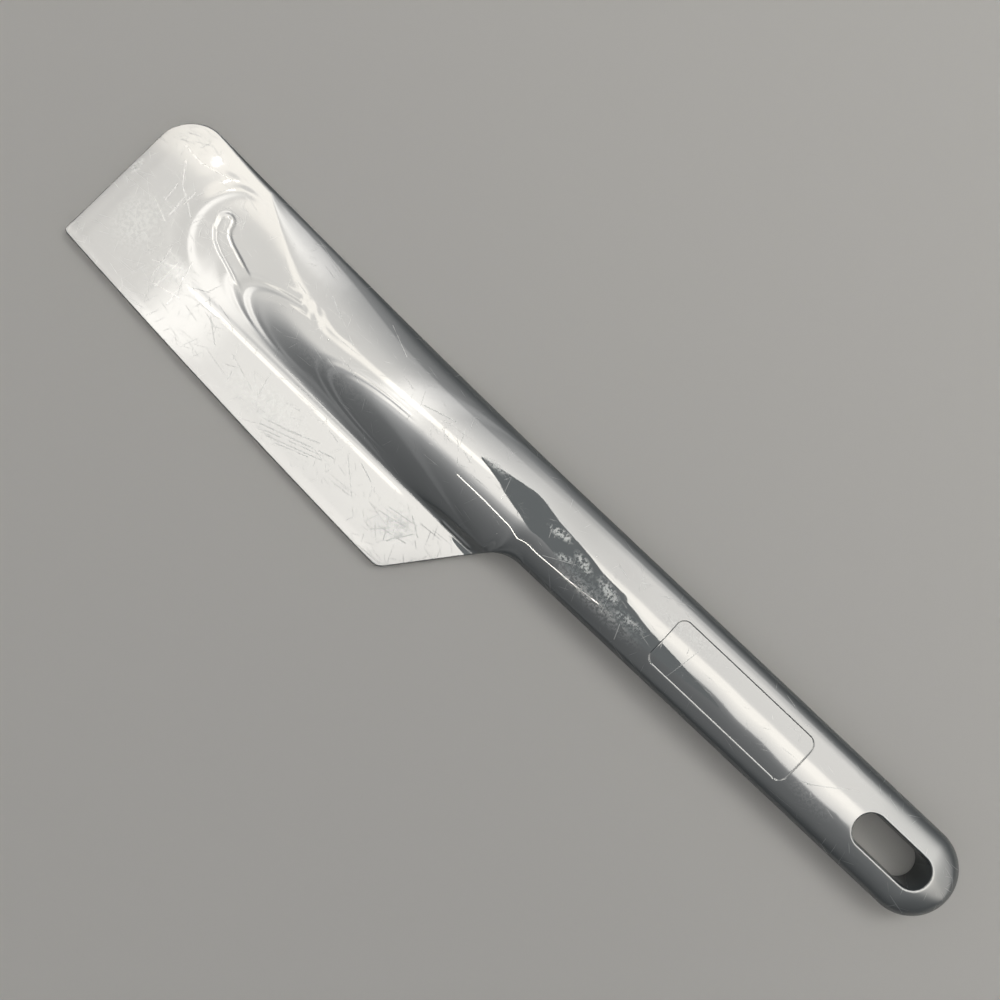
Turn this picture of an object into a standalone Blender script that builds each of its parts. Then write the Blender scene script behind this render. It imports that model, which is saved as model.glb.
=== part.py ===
"""Food processor spatula, moulded in one piece.

A flat scraping blade carries a raised spine that grows into the neck and then into a solid oval handle.
The handle has a hanging slot near its end and a shallow bare panel in its top face.

The handle runs along X with its end at +X, the scraping edge faces -Y and the blade lies flat on z = 0.
The origin is under the middle of the whole outline.
"""

import math

import bmesh
import bpy
import numpy as np

# Handle
LENGTH = 0.260
HANDLE_WIDTH = 0.0222
HANDLE_THICKNESS = 0.0102
PARTING_HEIGHT = 0.0056
PARTING_LAND = 0.0003

# Blade
BLADE_LENGTH = 0.1092
BLADE_THICKNESS = 0.0023
BLADE_END_FRONT = 0.0280
SCRAPING_EDGE_ANGLE = math.radians(3.9)
SCRAPING_EDGE_BOW = 0.0006
BACK_EDGE_FLARE = 0.0036
BACK_EDGE_FLARE_POWER = 1.25
BLADE_END_ANGLE = math.radians(2.7)
BACK_CORNER_RADIUS = 0.0105
FRONT_CORNER_RADIUS = 0.0013
EDGE_ROUNDING = 0.00035
EDGE_DRAFT = 0.0003
LOWER_EDGE_BREAK = 0.0002
END_BEVEL_LENGTH = 0.0058
END_BEVEL_DROP = 0.00016

# Neck
HEEL_ANGLE = math.radians(51)
HEEL_RADIUS = 0.0034
NECK_FILLET_RADIUS = 0.0090
NECK_BLEND_LENGTH = 0.009

# Spine on the blade
SPINE_START = 0.0170
SPINE_EASE = 1.1
SPINE_FOOT_AT_TIP = 0.0157
SPINE_FOOT_AT_NECK = 0.0170
SPINE_CREST_OFFSET = 0.0020
SPINE_SWING_START = 0.0047
SPINE_SWING_END = 0.066
SPINE_SWING_SPEED = 1.6
SPINE_WAVE_SKEW = 1.5
SPINE_FLANK_POWER = 2.6
SPINE_FULL_START = 0.062
SPINE_FULL_END = 0.118
SPINE_FOOT_FILLET_RADIUS = 0.0016
BACK_EDGE_ROUNDING = 0.0012
BACK_EDGE_RISE_LENGTH = 0.060

# Hanging slot
SLOT_LENGTH = 0.0212
SLOT_WIDTH = 0.0079
SLOT_END_WALL = 0.0085
SLOT_DRAFT_ANGLE = math.radians(4)
SLOT_RIM = 0.0005

# Panel in the top of the handle
PANEL_LENGTH = 0.0425
PANEL_WIDTH = 0.0131
PANEL_CORNER_RADIUS = 0.0023
PANEL_DEPTH = 0.00025
PANEL_TO_SLOT = 0.0188
SLOT_AND_PANEL_OFFSET = 0.0003

# Mesh fineness
BACK_STEPS = 9
FLANK_STEPS = 12
FLANK_SHARE_ON_HANDLE = 0.95
PLATE_STEPS = 7
UNDER_STEPS = 16
CORNER_STEPS = 8
EDGE_STEPS = 3
NECK_STEPS = 24
END_STEPS = 12
PANEL_STEPS = 8
BLADE_STEP = 0.0045
HANDLE_STEP = 0.010
CUTTER_MARGIN = 0.001

# Places that follow from the sizes
HALF_WIDTH = HANDLE_WIDTH / 2
BLADE_END_X = -LENGTH / 2
HEEL_X = BLADE_END_X + BLADE_LENGTH
HANDLE_END_CENTRE_X = LENGTH / 2 - HALF_WIDTH
SLOT_CENTRE_X = LENGTH / 2 - SLOT_END_WALL - SLOT_LENGTH / 2
PANEL_CENTRE_X = SLOT_CENTRE_X - SLOT_LENGTH / 2 - PANEL_TO_SLOT - PANEL_LENGTH / 2
HEEL_FRONT = BLADE_END_FRONT + BLADE_LENGTH * math.tan(SCRAPING_EDGE_ANGLE)
HEEL_SLOPE = math.atan(math.tan(SCRAPING_EDGE_ANGLE) - 4 * SCRAPING_EDGE_BOW / BLADE_LENGTH)
HEEL_TANGENT = HEEL_RADIUS * math.tan((HEEL_ANGLE + HEEL_SLOPE) / 2)
NECK_X = HEEL_X + (HEEL_FRONT - HALF_WIDTH) / math.tan(HEEL_ANGLE)
NECK_TANGENT = NECK_FILLET_RADIUS * math.tan(HEEL_ANGLE / 2)
SPINE_TOP_X = NECK_X + NECK_TANGENT
SPINE_LENGTH = SPINE_TOP_X - BLADE_END_X


def clear_scene():
    for thing in list(bpy.data.objects):
        bpy.data.objects.remove(thing)


def mix(a, b, share):
    return a + (b - a) * share


def ease(value):
    """0 to 1 with level ends, for value from 0 to 1."""
    value = np.clip(value, 0, 1)
    return value * value * (3 - 2 * value)


def arc_inset(radius, along):
    """How far a rounded corner stands back from its edge, at a distance along from the corner's start."""
    left = np.maximum(radius - along, 0)
    return radius - np.sqrt(np.maximum(radius ** 2 - left ** 2, 0))


def back_edge(x):
    """Y of the back edge: the handle's side, flaring slightly towards the blade's end."""
    share = np.clip((NECK_X - x) / (NECK_X - BLADE_END_X), 0, 1)
    flare = BACK_EDGE_FLARE * share ** BACK_EDGE_FLARE_POWER
    return HALF_WIDTH + flare - arc_inset(BACK_CORNER_RADIUS, x - BLADE_END_X)


def front_edge(x):
    """Y of the scraping edge, the rounded heel, the slanted neck and the handle's front side, in turn."""
    along = x - BLADE_END_X
    share = along / BLADE_LENGTH
    bow = SCRAPING_EDGE_BOW * 4 * share * (1 - share)
    edge = BLADE_END_FRONT + along * math.tan(SCRAPING_EDGE_ANGLE) + bow
    edge = edge - arc_inset(FRONT_CORNER_RADIUS, along)
    slant = HEEL_FRONT - (x - HEEL_X) * math.tan(HEEL_ANGLE)
    heel_start = HEEL_X - HEEL_TANGENT * math.cos(HEEL_SLOPE)
    heel_end = HEEL_X + HEEL_TANGENT * math.cos(HEEL_ANGLE)
    centre_x = heel_start + HEEL_RADIUS * math.sin(HEEL_SLOPE)
    centre_y = HEEL_FRONT - HEEL_TANGENT * math.sin(HEEL_SLOPE) - HEEL_RADIUS * math.cos(HEEL_SLOPE)
    heel = centre_y + np.sqrt(np.maximum(HEEL_RADIUS ** 2 - (x - centre_x) ** 2, 0))
    offset = np.clip(SPINE_TOP_X - x, 0, NECK_FILLET_RADIUS)
    neck = HALF_WIDTH + NECK_FILLET_RADIUS - np.sqrt(NECK_FILLET_RADIUS ** 2 - offset ** 2)
    y = np.where((x > heel_start) & (x < heel_end), heel, np.minimum(edge, slant))
    return -np.where(x > NECK_X - NECK_TANGENT * math.cos(HEEL_ANGLE), neck, y)


def back_share(x):
    """0 where the back edge belongs to the blade, 1 where it is the handle's side."""
    return ease((x - SPINE_TOP_X + BACK_EDGE_RISE_LENGTH) / BACK_EDGE_RISE_LENGTH)


def front_share(x):
    """0 where the front edge belongs to the blade, 1 where it is the handle's side."""
    return ease((x - SPINE_TOP_X + NECK_BLEND_LENGTH) / NECK_BLEND_LENGTH)


def top_front_edge(x):
    """Y of the top face's front edge, which stands a little back from the scraping edge below it."""
    return front_edge(x) + EDGE_DRAFT * (1 - front_share(x))


def back_rounding(x):
    """Radius at the back edge: crisp round the blade's end, fuller where the spine runs along it."""
    share = ease((x - BLADE_END_X - BACK_CORNER_RADIUS) / SPINE_START)
    return mix(EDGE_ROUNDING, BACK_EDGE_ROUNDING, share)


def crest(x):
    """(y, z) of the highest line, which swings to the back edge near the blade's end."""
    along = x - BLADE_END_X
    climb = np.maximum((along - SPINE_START) / (SPINE_LENGTH - SPINE_START), 0)
    z = mix(BLADE_THICKNESS, HANDLE_THICKNESS, ease(climb ** SPINE_EASE))
    offset = SPINE_CREST_OFFSET * ease((SPINE_LENGTH - along) / (SPINE_LENGTH - SPINE_SWING_END))
    swing = ease((SPINE_SWING_END - along) / (SPINE_SWING_END - SPINE_SWING_START))
    swung = np.minimum(SPINE_SWING_SPEED * swing, 1)
    return mix(-offset, back_edge(x) - back_rounding(x), swung), z


def foot(x):
    """Y of the line where the spine's flank meets the flat of the blade."""
    return -mix(SPINE_FOOT_AT_TIP, SPINE_FOOT_AT_NECK, (x - BLADE_END_X) / BLADE_LENGTH)


def oval_height(share):
    """Height of a quarter ellipse, from 1 at its crest to 0 at its side, for a share of its half width."""
    return np.sqrt(np.maximum(1 - np.clip(share, 0, 1) ** 2, 0))


def flank_height(x, y):
    """Height of the spine's front flank, a small fillet at its foot and the flat of the blade.

    The flank is a soft wave near the blade's end and swells to a full side with a crisp foot at the neck.
    """
    crest_y, crest_z = crest(x)
    width = crest_y - foot(x)
    rise = crest_z - BLADE_THICKNESS
    share = np.maximum(crest_y - y, 0) / width
    full = ease((x - BLADE_END_X - SPINE_FULL_START) / (SPINE_FULL_END - SPINE_FULL_START))
    fall = mix(ease(share ** SPINE_WAVE_SKEW), share ** SPINE_FLANK_POWER, full)
    spine = crest_z - rise * fall
    foot_slope = full * SPINE_FLANK_POWER * rise / width
    reach = SPINE_FOOT_FILLET_RADIUS * (np.hypot(1, foot_slope) - 1)
    overlap = np.maximum(reach - np.abs(spine - BLADE_THICKNESS), 0)
    fillet = np.divide(overlap ** 2, 4 * reach, out=np.zeros_like(overlap), where=overlap > 0)
    return np.maximum(spine, BLADE_THICKNESS) + fillet


def top_height(x, y):
    """Height of the top face: spine, flank and flat on the blade, and half an oval on the handle."""
    crest_y, crest_z = crest(x)
    along = x - BLADE_END_X
    back_z = mix(BLADE_THICKNESS - back_rounding(x), PARTING_HEIGHT + PARTING_LAND / 2, back_share(x))
    back = mix(back_z, crest_z, oval_height((y - crest_y) / (back_edge(x) - crest_y)))
    blade = flank_height(x, y) - arc_inset(EDGE_ROUNDING, y - top_front_edge(x))
    front_z = PARTING_HEIGHT + PARTING_LAND / 2
    handle = mix(front_z, crest_z, oval_height((crest_y - y) / (crest_y - top_front_edge(x))))
    top = np.where(y > crest_y, back, mix(blade, handle, front_share(x)))
    end_bevel = END_BEVEL_DROP * np.maximum(1 - along / END_BEVEL_LENGTH, 0) ** 2
    return top - end_bevel - arc_inset(EDGE_ROUNDING, along)


def under_height(x, y):
    """Height of the underside: flat under the blade, and half an oval under the handle."""
    edge = np.where(y > 0, back_edge(x), front_edge(x))
    flat = arc_inset(LOWER_EDGE_BREAK, np.abs(edge - y))
    oval = (PARTING_HEIGHT - PARTING_LAND / 2) * (1 - oval_height(y / edge))
    return mix(flat, oval, np.where(y > 0, back_share(x), front_share(x)))


def section(x):
    """One closed outline across the spatula at x, as (y, z) points, with its points closer at each edge."""
    crest_y = crest(x)[0]
    front_y = top_front_edge(x)
    plate_end = front_y + EDGE_ROUNDING
    turn_y = np.maximum(foot(x), mix(crest_y, plate_end, FLANK_SHARE_ON_HANDLE))
    quarter = math.pi / 2
    back = mix(crest_y, back_edge(x), np.cos(quarter * np.arange(BACK_STEPS) / BACK_STEPS))
    flank = mix(crest_y, turn_y, np.sin(quarter * np.arange(FLANK_STEPS) / FLANK_STEPS))
    plate = mix(turn_y, plate_end, (1 - np.cos(math.pi * np.arange(PLATE_STEPS) / PLATE_STEPS)) / 2)
    edge = mix(plate_end, front_y, np.sin(quarter * np.arange(EDGE_STEPS + 1) / EDGE_STEPS))
    across = (1 - np.cos(math.pi * np.arange(UNDER_STEPS + 1) / UNDER_STEPS)) / 2
    top_y = np.concatenate([back, flank, plate, edge])
    under_y = mix(front_edge(x), back_edge(x), across)
    return [*zip(top_y, top_height(x, top_y)), *zip(under_y, under_height(x, under_y))]


def stations():
    """X of every section from the blade's end to where the handle's round end begins, closer in corners."""
    quarter = math.pi / 2
    corner_end = BLADE_END_X + BACK_CORNER_RADIUS
    heel_start = HEEL_X - HEEL_TANGENT
    edge = 1 - np.cos(quarter * np.arange(EDGE_STEPS) / EDGE_STEPS)
    corner = 1 - np.cos(quarter * np.arange(CORNER_STEPS) / CORNER_STEPS)
    blade_steps = math.ceil((heel_start - corner_end) / BLADE_STEP)
    handle_steps = math.ceil((HANDLE_END_CENTRE_X - SPINE_TOP_X) / HANDLE_STEP)
    return np.concatenate([
        BLADE_END_X + EDGE_ROUNDING * edge,
        mix(BLADE_END_X + EDGE_ROUNDING, corner_end, corner),
        np.linspace(corner_end, heel_start, blade_steps, endpoint=False),
        np.linspace(heel_start, SPINE_TOP_X, NECK_STEPS, endpoint=False),
        np.linspace(SPINE_TOP_X, HANDLE_END_CENTRE_X, handle_steps + 1),
    ])


def end_slant(x, y):
    """How far the blade's slanted end moves a point along X: all of it at the end, none past the corner."""
    fade = 1 - ease((x - BLADE_END_X) / (2 * BACK_CORNER_RADIUS))
    return fade * math.tan(BLADE_END_ANGLE) * (y - front_edge(BLADE_END_X))


def join_rings(mesh, first, second):
    count = len(first)
    for index in range(count):
        after = (index + 1) % count
        mesh.faces.new((first[index], first[after], second[after], second[index]))


def object_from(mesh, name):
    bmesh.ops.recalc_face_normals(mesh, faces=mesh.faces)
    data = bpy.data.meshes.new(name)
    mesh.to_mesh(data)
    mesh.free()
    thing = bpy.data.objects.new(name, data)
    bpy.context.scene.collection.objects.link(thing)
    return thing


def make_body():
    """The blade, spine, neck and handle, lofted through the sections and closed with a round end."""
    mesh = bmesh.new()
    rings = []
    for x in stations():
        rings.append([mesh.verts.new((x + end_slant(x, y), y, z)) for y, z in section(x)])
    last = section(HANDLE_END_CENTRE_X)
    for step in range(1, END_STEPS):
        angle = math.pi / 2 * step / END_STEPS
        x = HANDLE_END_CENTRE_X + HALF_WIDTH * math.sin(angle)
        shrink = math.cos(angle)
        rings.append([mesh.verts.new((x, y * shrink, mix(PARTING_HEIGHT, z, shrink))) for y, z in last])
    for first, second in zip(rings, rings[1:]):
        join_rings(mesh, first, second)
    mesh.faces.new(rings[0])
    tip = mesh.verts.new((LENGTH / 2, 0, PARTING_HEIGHT))
    for index, vertex in enumerate(rings[-1]):
        mesh.faces.new((vertex, rings[-1][(index + 1) % len(last)], tip))
    return object_from(mesh, "spatula_body")


def closed_loft(name, rings_of_points):
    """A closed object through rings of (x, y, z) points, with a flat face at each end."""
    mesh = bmesh.new()
    rings = [[mesh.verts.new(point) for point in points] for points in rings_of_points]
    for first, second in zip(rings, rings[1:]):
        join_rings(mesh, first, second)
    mesh.faces.new(rings[0])
    mesh.faces.new(rings[-1])
    return object_from(mesh, name)


def handle_surface(x, y, rise):
    """Z of the handle's face over (x, y), from how far that face stands from the parting line."""
    reach = max(x - HANDLE_END_CENTRE_X, 0) / HALF_WIDTH
    return PARTING_HEIGHT + rise * oval_height(math.hypot(y / HALF_WIDTH, reach))


def slot_ring(flare, rise, depth):
    """The slot's outline grown by flare, at a depth below the face that stands rise from the parting line."""
    radius = SLOT_WIDTH / 2 + flare
    straight = (SLOT_LENGTH - SLOT_WIDTH) / 2
    points = []
    for side in (1, -1):
        for step in range(2 * CORNER_STEPS + 1):
            angle = math.pi * (step / (2 * CORNER_STEPS) - 0.5)
            x = SLOT_CENTRE_X + side * (straight + radius * math.cos(angle))
            y = side * radius * math.sin(angle) - SLOT_AND_PANEL_OFFSET
            points.append((x, y, handle_surface(x, y, rise) - math.copysign(1, rise) * depth))
    return points


def make_slot_cutter():
    """The hanging slot, narrowest at the parting line, with a rounded rim at each face."""
    rings = []
    for rise in (-PARTING_HEIGHT, HANDLE_THICKNESS - PARTING_HEIGHT):
        flare = abs(rise) * math.tan(SLOT_DRAFT_ANGLE)
        face = [slot_ring(flare + SLOT_RIM, rise, -CUTTER_MARGIN)]
        for step in range(EDGE_STEPS + 1):
            angle = math.pi / 2 * step / EDGE_STEPS
            rim = SLOT_RIM * (1 - math.sin(angle))
            face.append(slot_ring(flare + rim, rise, SLOT_RIM * (1 - math.cos(angle))))
        if rise > 0:
            face.reverse()
            rings.append([(x, y, PARTING_HEIGHT) for x, y, z in slot_ring(0, rise, 0)])
        rings += face
    return closed_loft("slot_cutter", rings)


def make_panel_cutter():
    """The panel: a rounded rectangle whose floor follows the handle's top at an even depth."""
    rings = []
    straight = PANEL_LENGTH / 2 - PANEL_CORNER_RADIUS
    for end in (-1, 1):
        for step in range(EDGE_STEPS + 1):
            angle = math.pi / 2 * (step if end > 0 else EDGE_STEPS - step) / EDGE_STEPS
            x = PANEL_CENTRE_X + end * (straight + PANEL_CORNER_RADIUS * math.sin(angle))
            half = PANEL_WIDTH / 2 - PANEL_CORNER_RADIUS * (1 - math.cos(angle))
            ring = []
            for y in np.linspace(-half, half, PANEL_STEPS + 1) - SLOT_AND_PANEL_OFFSET:
                floor_z = handle_surface(x, y, HANDLE_THICKNESS - PARTING_HEIGHT) - PANEL_DEPTH
                ring.append((x, y, floor_z))
            ring.append((x, half - SLOT_AND_PANEL_OFFSET, HANDLE_THICKNESS + CUTTER_MARGIN))
            ring.append((x, -half - SLOT_AND_PANEL_OFFSET, HANDLE_THICKNESS + CUTTER_MARGIN))
            rings.append(ring)
    return closed_loft("panel_cutter", rings)


def cut(body, cutter):
    cutter.hide_render = True
    cutter.display_type = "WIRE"
    modifier = body.modifiers.new(cutter.name, "BOOLEAN")
    modifier.operation = "DIFFERENCE"
    modifier.solver = "EXACT"
    modifier.object = cutter


def dark_plastic():
    material = bpy.data.materials.new("dark_plastic")
    material.use_nodes = True
    shader = material.node_tree.nodes["Principled BSDF"]
    shader.inputs["Base Color"].default_value = (0.045, 0.052, 0.056, 1)
    shader.inputs["Roughness"].default_value = 0.16
    shader.inputs["Metallic"].default_value = 0
    return material


def centre_across(things):
    """Moves everything along Y so that the origin lies under the middle of the outline."""
    places = stations()
    middle = (back_edge(places).max() + front_edge(places).min()) / 2
    for thing in things:
        thing.location.y = -middle


clear_scene()
body = make_body()
slot_cutter = make_slot_cutter()
panel_cutter = make_panel_cutter()
cut(body, slot_cutter)
cut(body, panel_cutter)
body.data.materials.append(dark_plastic())
body.data.shade_smooth()
body.data.set_sharp_from_angle(angle=math.radians(35))
centre_across([body, slot_cutter, panel_cutter])
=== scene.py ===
"""A dark glossy one-piece food processor spatula, lying on a pale worktop and seen from straight above."""

import math

import bpy
import numpy as np
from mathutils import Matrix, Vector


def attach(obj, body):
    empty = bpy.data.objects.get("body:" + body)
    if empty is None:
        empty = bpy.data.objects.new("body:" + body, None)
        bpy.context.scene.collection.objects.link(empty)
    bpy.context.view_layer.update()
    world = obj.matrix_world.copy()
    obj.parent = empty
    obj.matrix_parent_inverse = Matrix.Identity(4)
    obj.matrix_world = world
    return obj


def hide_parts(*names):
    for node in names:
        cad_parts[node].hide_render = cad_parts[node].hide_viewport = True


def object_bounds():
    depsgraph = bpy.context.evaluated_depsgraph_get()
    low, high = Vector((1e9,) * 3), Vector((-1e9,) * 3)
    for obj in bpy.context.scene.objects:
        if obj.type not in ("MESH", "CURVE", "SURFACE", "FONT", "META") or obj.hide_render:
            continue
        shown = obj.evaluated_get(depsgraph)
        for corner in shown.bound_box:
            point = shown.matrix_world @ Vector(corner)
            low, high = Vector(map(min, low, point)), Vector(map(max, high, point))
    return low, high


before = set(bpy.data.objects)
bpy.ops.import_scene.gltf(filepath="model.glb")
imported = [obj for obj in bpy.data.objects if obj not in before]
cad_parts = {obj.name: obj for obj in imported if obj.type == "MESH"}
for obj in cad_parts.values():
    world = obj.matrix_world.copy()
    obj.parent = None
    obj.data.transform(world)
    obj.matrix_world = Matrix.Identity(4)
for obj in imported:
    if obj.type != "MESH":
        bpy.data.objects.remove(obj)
cad_low, cad_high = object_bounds()
scene = bpy.context.scene
scene.view_settings.view_transform = "Standard"
MM = 0.001


# The camera
# A phone was held level over the blade's heel, with its picture turned so that the tool lies diagonally.
# From 240 mm up it sees a square 240 mm wide.
CAMERA_X = -10.3
CAMERA_Y = 7.25
CAMERA_HEIGHT = 240.0
CAMERA_TURN = math.radians(43.31)
CAMERA_LENS = 36.0
CAMERA_SENSOR = 36.0

camera = bpy.data.objects.new("camera", bpy.data.cameras.new("camera"))
scene.collection.objects.link(camera)
camera.data.lens = CAMERA_LENS
camera.data.sensor_width = CAMERA_SENSOR
camera.data.clip_start = 0.01
camera.location = (CAMERA_X * MM, CAMERA_Y * MM, CAMERA_HEIGHT * MM)
camera.rotation_euler = (0, 0, CAMERA_TURN)
scene.camera = camera


# The worktop
# A plain slab of pale grey laminate, pressed with a fine matt surface, so that it takes a soft shadow and
# mirrors nothing.
FLOOR_SIZE = 3000.0
FLOOR_COLOUR = "a5a39f"
FLOOR_ROUGHNESS = 0.75


def linear(colour):
    """Linear RGBA from an sRGB hex colour."""
    channels = [int(colour[place:place + 2], 16) / 255 for place in (0, 2, 4)]
    return [c / 12.92 if c <= 0.04045 else ((c + 0.055) / 1.055) ** 2.4 for c in channels] + [1]


def add(tree, kind, inputs, **settings):
    """A new node with its settings. Each input is a value or another node's output."""
    made = tree.nodes.new(kind)
    for name, value in settings.items():
        setattr(made, name, value)
    for name, value in inputs.items():
        if isinstance(value, bpy.types.NodeSocket):
            tree.links.new(value, made.inputs[name])
        else:
            made.inputs[name].default_value = value
    return made


def new_material(name):
    """A material with its tree and its Principled shader."""
    material = bpy.data.materials.new(name)
    material.use_nodes = True
    return material, material.node_tree, material.node_tree.nodes["Principled BSDF"]


def mesh_object(name, points, faces):
    """A smooth-shaded object from points in millimetres."""
    data = bpy.data.meshes.new(name)
    data.from_pydata((np.asarray(points) * MM).tolist(), [], faces)
    data.validate()
    data.shade_smooth()
    made = bpy.data.objects.new(name, data)
    scene.collection.objects.link(made)
    return made


half_floor = FLOOR_SIZE / 2
floor_corners = [(x, y, cad_low.z / MM) for x, y in ((-half_floor, -half_floor), (half_floor, -half_floor),
                                                    (half_floor, half_floor), (-half_floor, half_floor))]
worktop = mesh_object("worktop", floor_corners, [(0, 1, 2, 3)])
matt_slab, _, shader = new_material("matt_pale_slab")
shader.inputs["Base Color"].default_value = linear(FLOOR_COLOUR)
shader.inputs["Roughness"].default_value = FLOOR_ROUGHNESS
worktop.data.materials.append(matt_slab)


# The studio light
# A soft lamp on the tool's back side gives the soft shadow, and the world fills the rest evenly.
# What the gloss mirrors is a white ceiling with a brighter strip, the phone over it and a dark front side.
KEY_DIRECTION = (0.25, 0.80, 1.0)
KEY_DISTANCE = 900.0
KEY_SIZE = 420.0
KEY_RADIANCE = 6.1
FILL = 0.40
FILL_COLOUR = "fafcff"
# Each list of (degrees, value) below runs this far to either side of overhead, and is drawn as a colour ramp
# of shares of its peak
SKY_LIMIT = 90
# How bright the ceiling looks to a glossy surface, by degrees from overhead towards the tool's back:
# over the blade, and over the handle, where it ends more sharply at the front
SKY_PEAK = 22.0
BLADE_SKY = (
    (-90, 0.8), (-60, 1.6), (-45, 2.2), (-35, 3.0), (-28, 4.0), (-22, 5.2), (-17, 8.0), (-12.5, 11.5),
    (-9, 14.5), (-6, 15.5), (1.2, 15.3), (2.3, 22), (4.8, 22), (6.2, 15), (15, 13), (22, 10.6), (30, 8.8),
    (37, 7.5), (40, 4.6), (55, 3.3), (70, 1.8), (90, 1.0),
)
HANDLE_SKY = (
    (-90, 0.6), (-50, 1.4), (-30, 1.8), (-20, 2.4), (-15, 3.4), (-12.8, 5.0), (-11.2, 12.5), (-9, 14.5),
    (-6, 16), (-1, 18.3), (2, 20.5), (8, 20.2), (10.5, 15), (13, 14.2), (28, 14.2), (40, 14), (47, 10.5),
    (52, 9), (56, 4.2), (65, 2.6), (75, 1.6), (90, 0.8),
)
SKY_WARMTH = 0.04
# By degrees from overhead towards the handle's end: how far the handle's side of the ceiling takes over, how
# bright the ceiling is as a share, and how much sooner it ends at the front
HANDLE_SIDE = ((-90, 0), (-16, 0), (4, 0.6), (12, 1), (90, 1))
SKY_SHARE = (
    (-90, 0.1), (-60, 0.4), (-35, 0.66), (-27, 0.86), (-24, 0.9), (-22, 0.93), (-20.5, 1.4), (-18.8, 1.4),
    (-17, 1.1), (-3, 1.12), (5, 0.95), (22, 1.0), (30, 0.97), (36, 0.8), (43, 0.56), (50, 0.4), (90, 0.2),
)
SHARE_PEAK = 1.5
FRONT_STRETCH = (
    (-90, 0.7), (-35, 0.8), (-23, 1.0), (-14, 1.2), (-9, 1.1), (-3, 1.0), (3, 1.4), (12, 1.3), (24, 1.0),
    (90, 1.0),
)
STRETCH_PEAK = 2.0
# The phone over the tool, mirrored in the handle, and its edges as seen from its lens
PHONE_LEFT = -20.0
PHONE_RIGHT = 59.0
PHONE_TOP = 68.0
PHONE_BOTTOM = -150.0
PHONE_CORNER_RADIUS = 10.0
PHONE_CORNER_POINTS = 8
PHONE_COLOUR = "8e9191"
PHONE_RADIANCE = 6.6
CARD_HEIGHT = 5.0
CARD_ROUGHNESS = 0.9
# A bright gap at the dark side of the room and a small ceiling lamp, both seen only as reflections
GAP_LINE = (
    (-115, -34), (-104, -48), (-98, -58), (-93, -79), (-89, -101), (-80, -134), (-60, -133), (-40, -129),
    (-16, -125),
)
GAP_WIDTH = 5.5
GAP_COLOUR = "fffaf0"
GAP_RADIANCE = 34.0
LAMP_X = -210.0
LAMP_Y = 25.0
LAMP_RADIUS = 1.8
LAMP_POINTS = 24
LAMP_COLOUR = "ffffff"
LAMP_RADIANCE = 110.0


def ramp(tree, factor, stops, peak, warmth=0.0):
    """A colour ramp of (degrees, value) stops, read at an angle in degrees, warmer where it is brighter."""
    share = add(tree, "ShaderNodeMapRange", {"Value": factor, "From Min": -SKY_LIMIT, "From Max": SKY_LIMIT})
    made = add(tree, "ShaderNodeValToRGB", {"Fac": share.outputs["Result"]})
    elements = made.color_ramp.elements
    elements.remove(elements[1])
    for index, (degrees, value) in enumerate(stops):
        place = (degrees + SKY_LIMIT) / (2 * SKY_LIMIT)
        element = elements[0] if index == 0 else elements.new(place)
        element.position = place
        part = value / peak
        tint = warmth * part
        element.color = (part, part * (1 - tint), part * (1 - 3 * tint), 1)
    scaled = add(tree, "ShaderNodeVectorMath", {0: made.outputs["Color"], "Scale": peak}, operation="SCALE")
    return scaled.outputs[0]


world = bpy.data.worlds.new("studio")
scene.world = world
world.use_nodes = True
tree = world.node_tree
tree.nodes.clear()
direction = add(tree, "ShaderNodeTexCoord", {}).outputs["Generated"]
axes = add(tree, "ShaderNodeSeparateXYZ", {"Vector": direction}).outputs
across = add(tree, "ShaderNodeMath", {0: axes["Y"], 1: axes["Z"]}, operation="ARCTAN2").outputs[0]
across = add(tree, "ShaderNodeMath", {0: across}, operation="DEGREES").outputs[0]
along = add(tree, "ShaderNodeMath", {0: axes["X"], 1: axes["Z"]}, operation="ARCTAN2").outputs[0]
along = add(tree, "ShaderNodeMath", {0: along}, operation="DEGREES").outputs[0]
front = add(tree, "ShaderNodeMath", {0: across, 1: 0.0}, operation="MINIMUM").outputs[0]
back = add(tree, "ShaderNodeMath", {0: across, 1: 0.0}, operation="MAXIMUM").outputs[0]
stretch = ramp(tree, along, FRONT_STRETCH, STRETCH_PEAK)
across = add(tree, "ShaderNodeMath", {0: front, 1: stretch, 2: back}, operation="MULTIPLY_ADD").outputs[0]
over_blade = ramp(tree, across, BLADE_SKY, SKY_PEAK, SKY_WARMTH)
over_handle = ramp(tree, across, HANDLE_SKY, SKY_PEAK, SKY_WARMTH)
side = ramp(tree, along, HANDLE_SIDE, 1)
bands = add(tree, "ShaderNodeMix", {"Factor": side, 4: over_blade, 5: over_handle}, data_type="VECTOR")
shares = ramp(tree, along, SKY_SHARE, SHARE_PEAK)
ceiling = add(tree, "ShaderNodeVectorMath", {0: bands.outputs[1], 1: shares}, operation="MULTIPLY").outputs[0]
mirrored = add(tree, "ShaderNodeBackground", {"Color": ceiling})
fill = add(tree, "ShaderNodeBackground", {"Color": linear(FILL_COLOUR), "Strength": FILL})
glossy = add(tree, "ShaderNodeLightPath", {}).outputs["Is Glossy Ray"]
mixed = add(tree, "ShaderNodeMixShader", {0: glossy, 1: fill.outputs[0], 2: mirrored.outputs[0]})
add(tree, "ShaderNodeOutputWorld", {"Surface": mixed.outputs[0]})

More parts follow.
